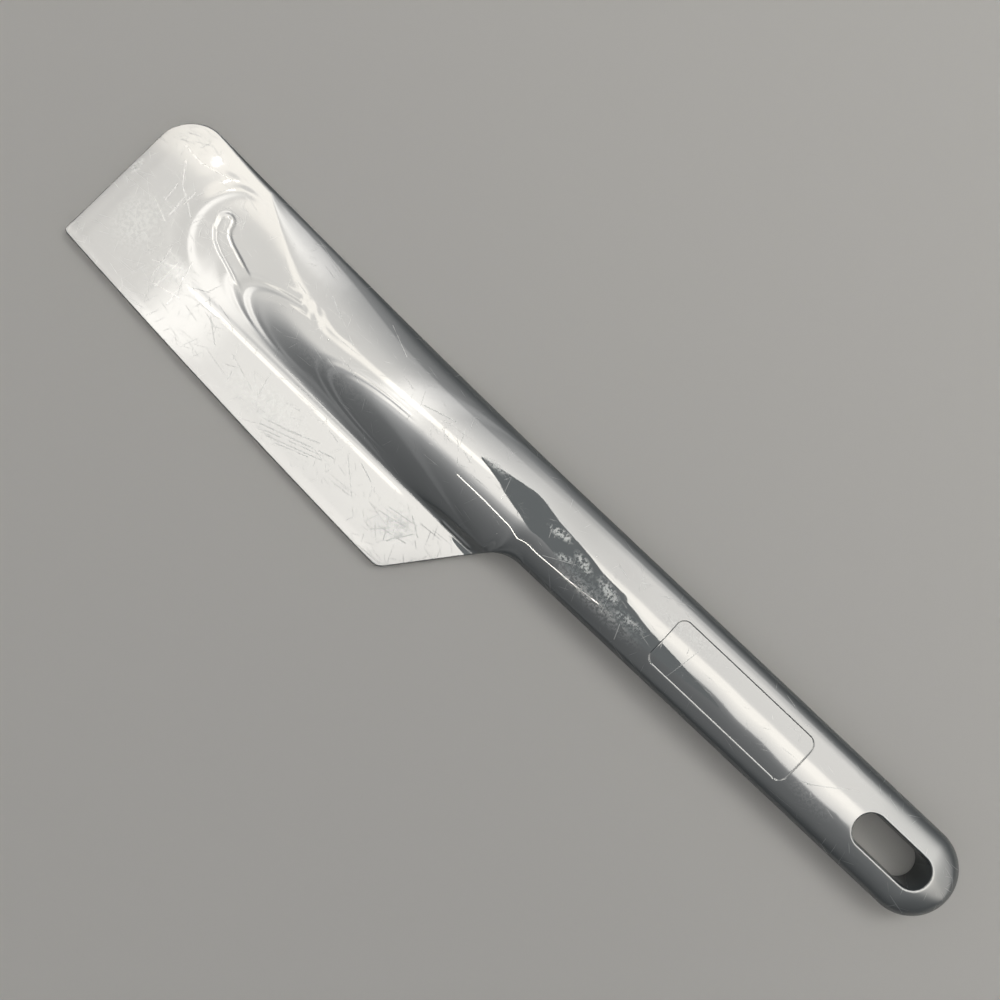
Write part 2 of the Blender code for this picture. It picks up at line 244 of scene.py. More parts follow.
key = bpy.data.objects.new("key_softbox", bpy.data.lights.new("key_softbox", "AREA"))
scene.collection.objects.link(key)
key.data.shape = "DISK"
key.data.size = KEY_SIZE * MM
key.data.energy = KEY_RADIANCE * math.pi * math.pi * (KEY_SIZE * MM / 2) ** 2
key_reach = KEY_DISTANCE / math.hypot(*KEY_DIRECTION)
key.location = [part * key_reach * MM for part in KEY_DIRECTION]
key.rotation_euler = key.location.to_track_quat("Z", "Y").to_euler()
key.visible_glossy = False


def reflected_card(name, outline, turn, colour, radiance):
    """A flat card at the phone's height, seen only in reflections, from points about the camera's axis."""
    card = mesh_object(name, [(x, y, 0) for x, y in outline], [tuple(range(len(outline)))])
    card.location = (CAMERA_X * MM, CAMERA_Y * MM, (CAMERA_HEIGHT + CARD_HEIGHT) * MM)
    card.rotation_euler = (0, 0, turn)
    material, _, shader = new_material(name)
    shader.inputs["Base Color"].default_value = linear(colour)
    shader.inputs["Roughness"].default_value = CARD_ROUGHNESS
    shader.inputs["Emission Color"].default_value = linear(colour)
    shader.inputs["Emission Strength"].default_value = radiance
    card.data.materials.append(material)
    card.visible_camera = False
    card.visible_diffuse = False
    card.visible_shadow = False


phone_outline = []
for corner, (x_side, y_side) in enumerate(((1, 1), (-1, 1), (-1, -1), (1, -1))):
    corner_x = (PHONE_RIGHT if x_side > 0 else PHONE_LEFT) - x_side * PHONE_CORNER_RADIUS
    corner_y = (PHONE_TOP if y_side > 0 else PHONE_BOTTOM) - y_side * PHONE_CORNER_RADIUS
    for turn in np.linspace(0, math.pi / 2, PHONE_CORNER_POINTS) + corner * math.pi / 2:
        phone_outline.append((corner_x + PHONE_CORNER_RADIUS * math.cos(turn),
                              corner_y + PHONE_CORNER_RADIUS * math.sin(turn)))
reflected_card("phone_card", phone_outline, CAMERA_TURN, PHONE_COLOUR, PHONE_RADIANCE)

gap_outline = [(x + GAP_WIDTH / 2, y + GAP_WIDTH / 2) for x, y in GAP_LINE]
gap_outline += [(x - GAP_WIDTH / 2, y - GAP_WIDTH / 2) for x, y in GAP_LINE[::-1]]
reflected_card("bright_gap", gap_outline, CAMERA_TURN, GAP_COLOUR, GAP_RADIANCE)
lamp_outline = [(LAMP_X + LAMP_RADIUS * math.cos(turn), LAMP_Y + LAMP_RADIUS * math.sin(turn))
                for turn in np.linspace(0, 2 * math.pi, LAMP_POINTS, endpoint=False)]
reflected_card("ceiling_lamp", lamp_outline, 0.0, LAMP_COLOUR, LAMP_RADIANCE)


# The spatula
# One injection moulding in stiff dark plastic, so blade, raised spine, neck, handle and hanging slot are one
# piece. Its gloss came off a polished mould, and the thick parts sank a little in ripples as they cooled.
LENGTH = (cad_high.x - cad_low.x) / MM
HANDLE_THICKNESS = cad_high.z / MM
HANDLE_WIDTH = 22.2
PARTING_HEIGHT = 5.6
PARTING_LAND = 0.3
BLADE_LENGTH = 109.2
BLADE_THICKNESS = 2.3
BLADE_END_FRONT = 28.0
SCRAPING_EDGE_ANGLE = math.radians(3.9)
SCRAPING_EDGE_BOW = 0.6
BACK_EDGE_FLARE = 3.6
BACK_EDGE_FLARE_POWER = 1.25
BLADE_END_ANGLE = math.radians(2.7)
BACK_CORNER_RADIUS = 10.5
FRONT_CORNER_RADIUS = 1.3
EDGE_ROUNDING = 0.35
EDGE_DRAFT = 0.3
LOWER_EDGE_BREAK = 0.2
END_BEVEL_LENGTH = 5.8
END_BEVEL_DROP = 0.16
HEEL_ANGLE = math.radians(51)
HEEL_RADIUS = 3.4
NECK_FILLET_RADIUS = 9.0
NECK_BLEND_LENGTH = 9.0
SPINE_START = 17.0
SPINE_EASE = 1.1
SPINE_FOOT_AT_TIP = 14.7
SPINE_FOOT_AT_NECK = 16.4
SPINE_CREST_OFFSET = 2.0
SPINE_SWING_START = 4.7
SPINE_SWING_END = 66.0
SPINE_SWING_SPEED = 1.6
SPINE_WAVE_SKEW = 1.5
SPINE_CREST_BEND = 2.1
SPINE_BEND_CENTRE = 57.0
SPINE_BEND_LENGTH = 17.0
SPINE_FLANK_POWER = 2.6
SPINE_FULL_START = 62.0
SPINE_FULL_END = 118.0
SPINE_FOOT_FILLET_RADIUS = 1.6
BACK_EDGE_ROUNDING = 1.2
BACK_EDGE_RISE_LENGTH = 60.0
SLOT_LENGTH = 21.2
SLOT_WIDTH = 7.9
SLOT_END_WALL = 8.5
SLOT_DRAFT = math.tan(math.radians(4))
SLOT_RIM = 0.5
PANEL_LENGTH = 42.5
PANEL_WIDTH = 13.1
PANEL_CORNER_RADIUS = 2.3
PANEL_DEPTH = 0.25
PANEL_STEP = 0.22
PANEL_TO_SLOT = 18.8
SLOT_AND_PANEL_OFFSET = 0.3

HALF_WIDTH = HANDLE_WIDTH / 2
BLADE_END_X = -LENGTH / 2
HEEL_X = BLADE_END_X + BLADE_LENGTH
HANDLE_END_CENTRE_X = LENGTH / 2 - HALF_WIDTH
SLOT_CENTRE_X = LENGTH / 2 - SLOT_END_WALL - SLOT_LENGTH / 2
PANEL_CENTRE_X = SLOT_CENTRE_X - SLOT_LENGTH / 2 - PANEL_TO_SLOT - PANEL_LENGTH / 2
SPINE_RISE = HANDLE_THICKNESS - BLADE_THICKNESS
HEEL_FRONT = BLADE_END_FRONT + BLADE_LENGTH * math.tan(SCRAPING_EDGE_ANGLE)
HEEL_SLOPE = math.atan(math.tan(SCRAPING_EDGE_ANGLE) - 4 * SCRAPING_EDGE_BOW / BLADE_LENGTH)
HEEL_TANGENT = HEEL_RADIUS * math.tan((HEEL_ANGLE + HEEL_SLOPE) / 2)
NECK_X = HEEL_X + (HEEL_FRONT - HALF_WIDTH) / math.tan(HEEL_ANGLE)
NECK_TANGENT = NECK_FILLET_RADIUS * math.tan(HEEL_ANGLE / 2)
SPINE_TOP_X = NECK_X + NECK_TANGENT
SPINE_LENGTH = SPINE_TOP_X - BLADE_END_X
UPPER_Z = PARTING_HEIGHT + PARTING_LAND / 2
LOWER_Z = PARTING_HEIGHT - PARTING_LAND / 2


def mix(a, b, share):
    """From a at share 0 to b at share 1."""
    return a + (b - a) * share


def ease(value):
    """0 to 1 with level ends, for value from 0 to 1."""
    value = np.clip(value, 0, 1)
    return value * value * (3 - 2 * value)


def ridge(distance, width):
    """A soft line, 1 at distance 0."""
    return np.exp(-(distance / width) ** 2)


def arc_inset(radius, along):
    """How far a rounded corner stands back from its edge, at a distance along from the corner's start."""
    left = np.maximum(radius - along, 0)
    return radius - np.sqrt(np.maximum(radius ** 2 - left ** 2, 0))


def back_edge(x):
    """Y of the back edge: the handle's side, flaring slightly towards the blade's end."""
    share = np.clip((NECK_X - x) / (NECK_X - BLADE_END_X), 0, 1)
    flare = BACK_EDGE_FLARE * share ** BACK_EDGE_FLARE_POWER
    return HALF_WIDTH + flare - arc_inset(BACK_CORNER_RADIUS, x - BLADE_END_X)


def front_edge(x):
    """Y of the scraping edge, the rounded heel, the slanted neck and the handle's front side, in turn."""
    along = x - BLADE_END_X
    share = along / BLADE_LENGTH
    bow = SCRAPING_EDGE_BOW * 4 * share * (1 - share)
    edge = BLADE_END_FRONT + along * math.tan(SCRAPING_EDGE_ANGLE) + bow
    edge = edge - arc_inset(FRONT_CORNER_RADIUS, along)
    slant = HEEL_FRONT - (x - HEEL_X) * math.tan(HEEL_ANGLE)
    heel_start = HEEL_X - HEEL_TANGENT * math.cos(HEEL_SLOPE)
    heel_end = HEEL_X + HEEL_TANGENT * math.cos(HEEL_ANGLE)
    centre_x = heel_start + HEEL_RADIUS * math.sin(HEEL_SLOPE)
    centre_y = HEEL_FRONT - HEEL_TANGENT * math.sin(HEEL_SLOPE) - HEEL_RADIUS * math.cos(HEEL_SLOPE)
    heel = centre_y + np.sqrt(np.maximum(HEEL_RADIUS ** 2 - (x - centre_x) ** 2, 0))
    offset = np.clip(SPINE_TOP_X - x, 0, NECK_FILLET_RADIUS)
    neck = HALF_WIDTH + NECK_FILLET_RADIUS - np.sqrt(NECK_FILLET_RADIUS ** 2 - offset ** 2)
    y = np.where((x > heel_start) & (x < heel_end), heel, np.minimum(edge, slant))
    return -np.where(x > NECK_X - NECK_TANGENT * math.cos(HEEL_ANGLE), neck, y)


def back_rounding(x):
    """Radius at the back edge: crisp round the blade's end, fuller where the spine runs along it."""
    return mix(EDGE_ROUNDING, BACK_EDGE_ROUNDING, ease((x - BLADE_END_X - BACK_CORNER_RADIUS) / SPINE_START))


def crest(x):
    """(y, z) of the spine's highest line, which swings to the back edge near the blade's end."""
    along = x - BLADE_END_X
    climb = np.maximum((along - SPINE_START) / (SPINE_LENGTH - SPINE_START), 0)
    z = BLADE_THICKNESS + SPINE_RISE * ease(climb ** SPINE_EASE)
    offset = SPINE_CREST_OFFSET * ease((SPINE_LENGTH - along) / (SPINE_LENGTH - SPINE_SWING_END))
    swing = ease((SPINE_SWING_END - along) / (SPINE_SWING_END - SPINE_SWING_START))
    swung = np.minimum(SPINE_SWING_SPEED * swing, 1)
    bend = SPINE_CREST_BEND * ridge(along - SPINE_BEND_CENTRE, SPINE_BEND_LENGTH)
    return mix(-offset, back_edge(x) - back_rounding(x), swung) - bend, z


def foot(x):
    """Y of the line where the spine's flank meets the flat of the blade."""
    return -mix(SPINE_FOOT_AT_TIP, SPINE_FOOT_AT_NECK, (x - BLADE_END_X) / BLADE_LENGTH)


def flank_height(x, y):
    """Height of the spine's front flank, a small fillet at its foot and the flat of the blade.

    The flank is a soft wave near the blade's end and swells to a full side with a crisp foot at the neck.
    """
    crest_y, crest_z = crest(x)
    width = crest_y - foot(x)
    rise = crest_z - BLADE_THICKNESS
    share = np.maximum(crest_y - y, 0) / width
    full = ease((x - BLADE_END_X - SPINE_FULL_START) / (SPINE_FULL_END - SPINE_FULL_START))
    fall = mix(ease(share ** SPINE_WAVE_SKEW), share ** SPINE_FLANK_POWER, full)
    spine = crest_z - rise * fall
    slope = full * SPINE_FLANK_POWER * rise / width
    reach = SPINE_FOOT_FILLET_RADIUS * (np.hypot(1, slope) - 1)
    overlap = np.maximum(reach - np.abs(spine - BLADE_THICKNESS), 0)
    fillet = overlap ** 2 / (4 * np.maximum(reach, 1e-9))
    return np.maximum(spine, BLADE_THICKNESS) + fillet


def back_share(x):
    """0 where the back edge belongs to the blade, 1 where it is the handle's side."""
    return ease((x - SPINE_TOP_X + BACK_EDGE_RISE_LENGTH) / BACK_EDGE_RISE_LENGTH)


def front_share(x):
    """0 where the front edge belongs to the blade, 1 where it is the handle's side."""
    return ease((x - SPINE_TOP_X + NECK_BLEND_LENGTH) / NECK_BLEND_LENGTH)


def top_front_edge(x):
    """Y of the top face's front edge, which stands a little back from the scraping edge below it."""
    return front_edge(x) + EDGE_DRAFT * (1 - front_share(x))


def oval_height(share):
    """Height of a quarter ellipse, 1 at its crest and 0 at its side, for a share of its half width."""
    return np.sqrt(np.maximum(1 - np.clip(share, 0, 1) ** 2, 0))


def top_height(x, y):
    """Height of the smooth top face, before its ripples and its panel."""
    crest_y, crest_z = crest(x)
    along = x - BLADE_END_X
    back_z = mix(BLADE_THICKNESS - back_rounding(x), UPPER_Z, back_share(x))
    back = mix(back_z, crest_z, oval_height((y - crest_y) / (back_edge(x) - crest_y)))
    blade = flank_height(x, y) - arc_inset(EDGE_ROUNDING, y - top_front_edge(x))
    handle = mix(UPPER_Z, crest_z, oval_height((crest_y - y) / (crest_y - top_front_edge(x))))
    top = np.where(y > crest_y, back, mix(blade, handle, front_share(x)))
    end_bevel = END_BEVEL_DROP * np.maximum(1 - along / END_BEVEL_LENGTH, 0) ** 2
    return top - end_bevel - arc_inset(EDGE_ROUNDING, along)


def under_height(x, y):
    """Height of the underside: flat under the blade, and half an oval under the handle."""
    edge = np.where(y > 0, back_edge(x), front_edge(x))
    flat = arc_inset(LOWER_EDGE_BREAK, np.abs(edge - y))
    oval = LOWER_Z * (1 - oval_height(y / edge))
    return mix(flat, oval, np.where(y > 0, back_share(x), front_share(x)))


def end_slant(x, y):
    """How far the blade's slanted end moves a point along X."""
    fade = 1 - ease((x - BLADE_END_X) / (2 * BACK_CORNER_RADIUS))
    return fade * math.tan(BLADE_END_ANGLE) * (y - front_edge(np.array(BLADE_END_X)))


def path_distance(x, y, path):
    """Distance from (x, y) to a path through (x, y) points."""
    nearest = np.full(np.broadcast(x, y).shape, np.inf)
    for (x0, y0), (x1, y1) in zip(path, path[1:]):
        along = ((x - x0) * (x1 - x0) + (y - y0) * (y1 - y0)) / ((x1 - x0) ** 2 + (y1 - y0) ** 2)
        share = np.clip(along, 0, 1)
        nearest = np.minimum(nearest, np.hypot(x - mix(x0, x1, share), y - mix(y0, y1, share)))
    return nearest


def outline_distance(x, y):
    """Distance from the blade's end and its rounded back corner, inwards."""
    corner_x = BLADE_END_X + BACK_CORNER_RADIUS
    corner_y = HALF_WIDTH + BACK_EDGE_FLARE - BACK_CORNER_RADIUS
    round_corner = BACK_CORNER_RADIUS - np.hypot(np.minimum(x - corner_x, 0), np.maximum(y - corner_y, 0))
    return np.where((x < corner_x) & (y > corner_y), round_corner, x - BLADE_END_X)


def slant_distance(x, y):
    """Distance from the slanted edge between the heel and the neck, inwards."""
    slant_y = -HEEL_FRONT + (x - HEEL_X) * math.tan(HEEL_ANGLE)
    return (y - slant_y) * math.cos(HEEL_ANGLE)


# What the mould and the cooling left on the smooth shape, as real heights
SOFT_RIM_CENTRE = (-95.3, -1.4)
SOFT_RIM_RADII = (14.5, 13.3)
SOFT_RIM_HEIGHT = 0.045
SOFT_RIM_WIDTH = 1.25
SOFT_RIM_DIP = 0.5
SOFT_RIM_DIP_OFFSET = 3.0
SOFT_RIM_DIP_WIDTH = 1.6
SOFT_RIM_FRONT = -15.0
SOFT_RIM_BACK = 10.5
LEAF_PATH = (
    (-102.9, 0.4), (-102.3, -1.6), (-100.8, -3.2), (-98.6, -4.3), (-95.6, -5.3), (-91.5, -6.7), (-87, -8.2),
)
LEAF_HALF_WIDTH = 1.75
LEAF_DEPTH = 0.09
LEAF_STEP = 0.8
LEAF_OUTLINE_DEPTH = 0.07
LEAF_OUTLINE_WIDTH = 0.38
LEAF_END_X = -88.0
FOOT_GROOVE_DEPTH = 0.085
FOOT_GROOVE_OFFSET = 1.3
FOOT_GROOVE_WIDTH = 1.0
FOOT_GROOVE_START = 22.0
FOOT_GROOVE_END_X = -22.0
NECK_CREASE_HEIGHT = 0.26
NECK_CREASE_WIDTH = 0.36
NECK_CREASE_OFFSET = -0.05
NECK_CREASE_START_X = -17.5
NECK_CREASE_END_X = -7.0
NECK_LIFT = 0.12
NECK_LIFT_LENGTH = 8.0
NECK_LIFT_BACK = 7.0
EDGE_LIFT = 0.13
EDGE_LIFT_WIDTH = 3.2
SLANT_DROP = 0.035
SLANT_DROP_WIDTH = 3.6
END_GROOVE_DEPTH = 0.022
END_GROOVE_OFFSET = 3.3
END_GROOVE_WIDTH = 1.3
# (centre x, centre y, radius along, radius across, ripple height) of the ripples where the spine sinks in
SPINE_RIPPLES = ((-57, -8.0, 32, 7.6, 0.040), (-36, -8.6, 25, 5.4, 0.024))
RIPPLE_REACH = 0.16
RIPPLE_PERIOD = 0.2
HANDLE_SINK = 0.034
# The handle's sink marks as sines along it: (mm to a radian, phase, share of the height), and one across it
HANDLE_WAVES = ((7.3, 0.0, 1.0), (3.9, 1.0, 0.7), (2.3, 2.0, 0.5))
HANDLE_CROSS_WAVE = 3.4
HANDLE_CROSS_PHASE = 0.8


def relief(x, y):
    """How far the real top stands off the smooth one."""
    on_blade = 1 - front_share(x)
    inside_x = np.abs(x - PANEL_CENTRE_X) - PANEL_LENGTH / 2 + PANEL_CORNER_RADIUS
    inside_y = np.abs(y + SLOT_AND_PANEL_OFFSET) - PANEL_WIDTH / 2 + PANEL_CORNER_RADIUS
    outside = np.hypot(np.maximum(inside_x, 0), np.maximum(inside_y, 0))
    panel_edge = outside + np.minimum(np.maximum(inside_x, inside_y), 0) - PANEL_CORNER_RADIUS
    height = -PANEL_DEPTH * ease(0.5 - panel_edge / PANEL_STEP)

    # The soft rim like a horseshoe round the leaf-shaped recess, and the recess
    rim_x = (x - SOFT_RIM_CENTRE[0]) / SOFT_RIM_RADII[0]
    rim_y = (y - SOFT_RIM_CENTRE[1]) / SOFT_RIM_RADII[1]
    rim = (np.hypot(rim_x, rim_y) - 1) * SOFT_RIM_RADII[1]
    rim_fade = ease(0.75 - rim_x) * ease((y - SOFT_RIM_FRONT) / 4) * ease((SOFT_RIM_BACK - y) / 2)
    dip = SOFT_RIM_DIP * ridge(rim - SOFT_RIM_DIP_OFFSET, SOFT_RIM_DIP_WIDTH)
    height += SOFT_RIM_HEIGHT * rim_fade * (ridge(rim, SOFT_RIM_WIDTH) - dip)
    leaf = path_distance(x, y, LEAF_PATH) - LEAF_HALF_WIDTH
    leaf_fade = ease((LEAF_END_X - x) / 6)
    outline = LEAF_OUTLINE_DEPTH * ridge(leaf, LEAF_OUTLINE_WIDTH)
    height -= leaf_fade * (LEAF_DEPTH * ease(0.5 - leaf / LEAF_STEP) + outline)

    # The groove along the spine's foot, its crease at the neck, and the plate's lift into the neck
    past_foot = foot(x) - y
    foot_fade = ease((x - BLADE_END_X - FOOT_GROOVE_START) / 14) * ease((FOOT_GROOVE_END_X - x) / 10)
    groove = ridge(past_foot - FOOT_GROOVE_OFFSET, FOOT_GROOVE_WIDTH)
    crease_fade = ease((x - NECK_CREASE_START_X) / 1.2) * ease((NECK_CREASE_END_X - x) / 1.2)
    crease = crease_fade * ridge(past_foot - NECK_CREASE_OFFSET, NECK_CREASE_WIDTH)
    height += NECK_CREASE_HEIGHT * crease - FOOT_GROOVE_DEPTH * foot_fade * groove
    lift = np.maximum(1 + (x - NECK_X + NECK_LIFT_BACK) / NECK_LIFT_LENGTH, 0) ** 2
    height += NECK_LIFT * on_blade * lift * ease(past_foot / 2)

    # The lifted scraping edge, the dropped slanted edge, and the groove inside the blade's end
    from_edge = y - front_edge(x)
    height += EDGE_LIFT * on_blade * ease(1 - from_edge / EDGE_LIFT_WIDTH) * ease((HEEL_X - 1 - x) / 4)
    from_slant = np.maximum(slant_distance(x, y), 0)
    height -= SLANT_DROP * on_blade * np.maximum(1 - from_slant / SLANT_DROP_WIDTH, 0) ** 2
    height -= END_GROOVE_DEPTH * ridge(outline_distance(x, y) - END_GROOVE_OFFSET, END_GROOVE_WIDTH)

    # Sink marks on the spine and the handle
    for centre_x, centre_y, long_radius, short_radius, ripple in SPINE_RIPPLES:
        ring = np.hypot((x - centre_x) / long_radius, (y - centre_y) / short_radius) - 1
        window = ridge(ring, RIPPLE_REACH) * ease((centre_x - x) / 6) * ease(1 - (past_foot + 3) / 2)
        height += ripple * window * np.cos(ring * 2 * math.pi / RIPPLE_PERIOD)
    on_handle = ease((x - SPINE_TOP_X) / 10)
    waves = sum(share * np.sin(x / length + start) for length, start, share in HANDLE_WAVES)
    across = np.sin(y / HANDLE_CROSS_WAVE + HANDLE_CROSS_PHASE) * ease(1.5 - np.abs(y) / 7)
    height += HANDLE_SINK * on_handle * waves * across
    return height


# The mesh
# Rings across the tool at close stations, finer where the blade's end, the neck and the panel's step turn.
STEP_FINE = 0.15
PANEL_MARGIN = 0.6
JOIN_TO_SLOT = 4.5
JOIN_LENGTH = 0.6
PANEL_START_X = PANEL_CENTRE_X - PANEL_LENGTH / 2
PANEL_END_X = PANEL_CENTRE_X + PANEL_LENGTH / 2
# (start, end, step) of the stations along X
STATIONS = (
    (BLADE_END_X + EDGE_ROUNDING, BLADE_END_X + BACK_CORNER_RADIUS, 0.35),
    (BLADE_END_X + BACK_CORNER_RADIUS, HEEL_X - HEEL_TANGENT, 0.36),
    (HEEL_X - HEEL_TANGENT, SPINE_TOP_X, 0.3),
    (SPINE_TOP_X, PANEL_START_X - PANEL_MARGIN, 0.7),
    (PANEL_START_X - PANEL_MARGIN, PANEL_START_X + PANEL_CORNER_RADIUS, STEP_FINE),
    (PANEL_START_X + PANEL_CORNER_RADIUS, PANEL_END_X - PANEL_CORNER_RADIUS, 0.6),
    (PANEL_END_X - PANEL_CORNER_RADIUS, PANEL_END_X + PANEL_MARGIN, STEP_FINE),
    (PANEL_END_X + PANEL_MARGIN, SLOT_CENTRE_X - SLOT_LENGTH / 2 - JOIN_TO_SLOT, 0.6),
)
EDGE_TURNS = 5


def spaced(start, end, step):
    """Even values from start up to end, without end itself."""
    return np.linspace(start, end, max(round((end - start) / step), 1), endpoint=False)


turns = np.linspace(0, math.pi / 2, EDGE_TURNS, endpoint=False)
stations = [BLADE_END_X + EDGE_ROUNDING * (1 - np.cos(turns))]
stations += [spaced(*stretch) for stretch in STATIONS]
x_rings = np.append(np.concatenate(stations), STATIONS[-1][1])[:, None]

# Points over the top of each ring, from the back edge to the front, closer at the edges and the spine's foot
BACK_POINTS = 26
FLANK_POINTS = 112
PLATE_POINTS = 64
EDGE_POINTS = 7
UNDER_POINTS = 30
FLANK_SHARE_MAX = 0.9
HANDLE_BLEND_LENGTH = 20.0
top_count = BACK_POINTS + FLANK_POINTS + PLATE_POINTS + EDGE_POINTS
quarter = math.pi / 2
crest_y = crest(x_rings)[0]
side_y = top_front_edge(x_rings)
plate_end = side_y + EDGE_ROUNDING
turn_y = np.maximum(foot(x_rings), mix(crest_y, plate_end, FLANK_SHARE_MAX))
back_turns = np.cos(quarter * np.arange(BACK_POINTS) / BACK_POINTS)
plate_turns = (1 - np.cos(math.pi * np.arange(PLATE_POINTS) / PLATE_POINTS)) / 2
blade_y = np.concatenate([
    mix(crest_y, back_edge(x_rings), back_turns),
    mix(crest_y, turn_y, np.arange(FLANK_POINTS) / FLANK_POINTS),
    mix(turn_y, plate_end, plate_turns),
    mix(plate_end, side_y, np.sin(quarter * np.arange(EDGE_POINTS) / (EDGE_POINTS - 1))),
], axis=1)

# On the handle they crowd at the panel's two long edges instead
panel_back_y = PANEL_WIDTH / 2 - SLOT_AND_PANEL_OFFSET
panel_front_y = -PANEL_WIDTH / 2 - SLOT_AND_PANEL_OFFSET
middle_y = np.concatenate([
    spaced(panel_front_y - PANEL_MARGIN, panel_front_y + PANEL_CORNER_RADIUS, STEP_FINE),
    spaced(panel_front_y + PANEL_CORNER_RADIUS, panel_back_y - PANEL_CORNER_RADIUS, 0.42),
    spaced(panel_back_y - PANEL_CORNER_RADIUS, panel_back_y + PANEL_MARGIN, STEP_FINE),
])[::-1]
back_count = (top_count - len(middle_y)) // 2
front_count = top_count - len(middle_y) - back_count
back_turn = math.acos(middle_y[0] / HALF_WIDTH) * np.arange(back_count) / back_count
front_turn = math.acos(-middle_y[-1] / HALF_WIDTH) * np.arange(front_count) / front_count
handle_y = np.concatenate([
    HALF_WIDTH * np.cos(back_turn), middle_y, -HALF_WIDTH * np.cos(front_turn)[::-1],
])
top_y = mix(blade_y, handle_y, ease((x_rings - SPINE_TOP_X) / HANDLE_BLEND_LENGTH))
top_z = top_height(x_rings, top_y) + relief(x_rings, top_y)
under_turns = (1 - np.cos(math.pi * np.arange(UNDER_POINTS) / (UNDER_POINTS - 1))) / 2
under_y = mix(front_edge(x_rings), back_edge(x_rings), under_turns)
under_z = under_height(x_rings, under_y)
ring_y = np.concatenate([top_y, under_y], axis=1)
ring_z = np.concatenate([top_z, under_z], axis=1)
ring_x = x_rings + end_slant(x_rings, ring_y)

# The handle's end, as rings that spread from the hanging slot's wall to the round outline
END_RINGS = 34
RIM_TURNS = 6
SIDE_STEPS = 30
ROUND_STEPS = 44
x_join = STATIONS[-1][1] + JOIN_LENGTH
join_y = handle_y
side_x = np.linspace(x_join, HANDLE_END_CENTRE_X, SIDE_STEPS, endpoint=False)[1:]
round_turn = np.linspace(0, math.pi, ROUND_STEPS + 1)
outer_x = np.concatenate([
    np.full(len(join_y), x_join), side_x, HANDLE_END_CENTRE_X + HALF_WIDTH * np.sin(round_turn), side_x[::-1],
])
outer_y = np.concatenate([
    join_y[::-1], np.full(len(side_x), HALF_WIDTH), HALF_WIDTH * np.cos(round_turn),
    np.full(len(side_x), -HALF_WIDTH),
])
left_turn = mix(-math.pi / 2, math.pi / 2, np.arange(len(join_y)) / (len(join_y) - 1))
side_share = np.arange(1, len(side_x) + 1) / (len(side_x) + 1)


def slot_outline(growth):
    """(x, y) round the slot's wall, matched point for point with the outer outline."""
    radius = SLOT_WIDTH / 2 + growth
    straight = (SLOT_LENGTH - SLOT_WIDTH) / 2
    x = np.concatenate([
        -straight - radius * np.cos(left_turn), mix(-straight, straight, side_share),
        straight + radius * np.sin(round_turn), mix(straight, -straight, side_share),
    ])
    y = np.concatenate([
        radius * np.sin(left_turn), np.full(len(side_x), radius), radius * np.cos(round_turn),
        np.full(len(side_x), -radius),
    ])
    return SLOT_CENTRE_X + x, y - SLOT_AND_PANEL_OFFSET


def end_surface(x, y, side):
    """Z of the handle's top (side 1) or underside (side -1), round the slot and over the round end."""
    reach = np.clip((x - HANDLE_END_CENTRE_X) / HALF_WIDTH, 0, 1)
    rise = HANDLE_THICKNESS - UPPER_Z if side > 0 else LOWER_Z
    dome = np.sqrt(np.maximum(1 - reach ** 2 - (y / HALF_WIDTH) ** 2, 0))
    return PARTING_HEIGHT + side * (PARTING_LAND / 2 * np.sqrt(1 - reach ** 2) + rise * dome)


def end_rings(side):
    """Rings of points from the slot's parting line, up its wall and over its rim, to the outer outline."""
    rise = HANDLE_THICKNESS - PARTING_HEIGHT if side > 0 else PARTING_HEIGHT
    flare = rise * SLOT_DRAFT
    rings = []
    for turn in np.linspace(math.pi / 2, 0, RIM_TURNS):
        x, y = slot_outline(flare + SLOT_RIM * (1 - math.sin(turn)))
        rings.append((x, y, end_surface(x, y, side) - side * SLOT_RIM * (1 - math.cos(turn))))
    rim_x, rim_y, _ = rings[-1]
    for step in range(1, END_RINGS + 1):
        share = math.sin(math.pi / 2 * step / END_RINGS)
        x, y = mix(rim_x, outer_x, share), mix(rim_y, outer_y, share)
        rings.append((x, y, end_surface(x, y, side)))
    return np.stack([np.stack(ring, axis=-1) for ring in rings])


upper_end = end_rings(1)
lower_end = end_rings(-1)
waist_x, waist_y = slot_outline(0)
waist = np.stack([waist_x, waist_y, np.full(len(waist_x), PARTING_HEIGHT)], axis=-1)[None]

loft_points = np.stack([ring_x, ring_y, ring_z], axis=-1)
loft = np.arange(loft_points.shape[0] * loft_points.shape[1]).reshape(loft_points.shape[:2])
end_points = np.concatenate([lower_end[::-1], waist, upper_end])
end_grid = np.arange(end_points.shape[0] * end_points.shape[1]).reshape(end_points.shape[:2]) + loft.size


def quads(grid):
    """Faces between the rows of a grid of point numbers."""
    corners = np.stack([grid[:-1, :-1], grid[:-1, 1:], grid[1:, 1:], grid[1:, :-1]], axis=-1)
    return corners.reshape(-1, 4).tolist()


def stitch(first, second, first_y, second_y):
    """Triangles between two rows of point numbers with unlike spacing, both running along rising Y."""
    faces = []
    i = j = 0
    while i < len(first) - 1 or j < len(second) - 1:
        step_first = j == len(second) - 1 or (i < len(first) - 1 and first_y[i + 1] < second_y[j + 1])
        if step_first:
            faces.append((first[i], first[i + 1], second[j]))
            i += 1
        else:
            faces.append((first[i], second[j + 1], second[j]))
            j += 1
    return faces


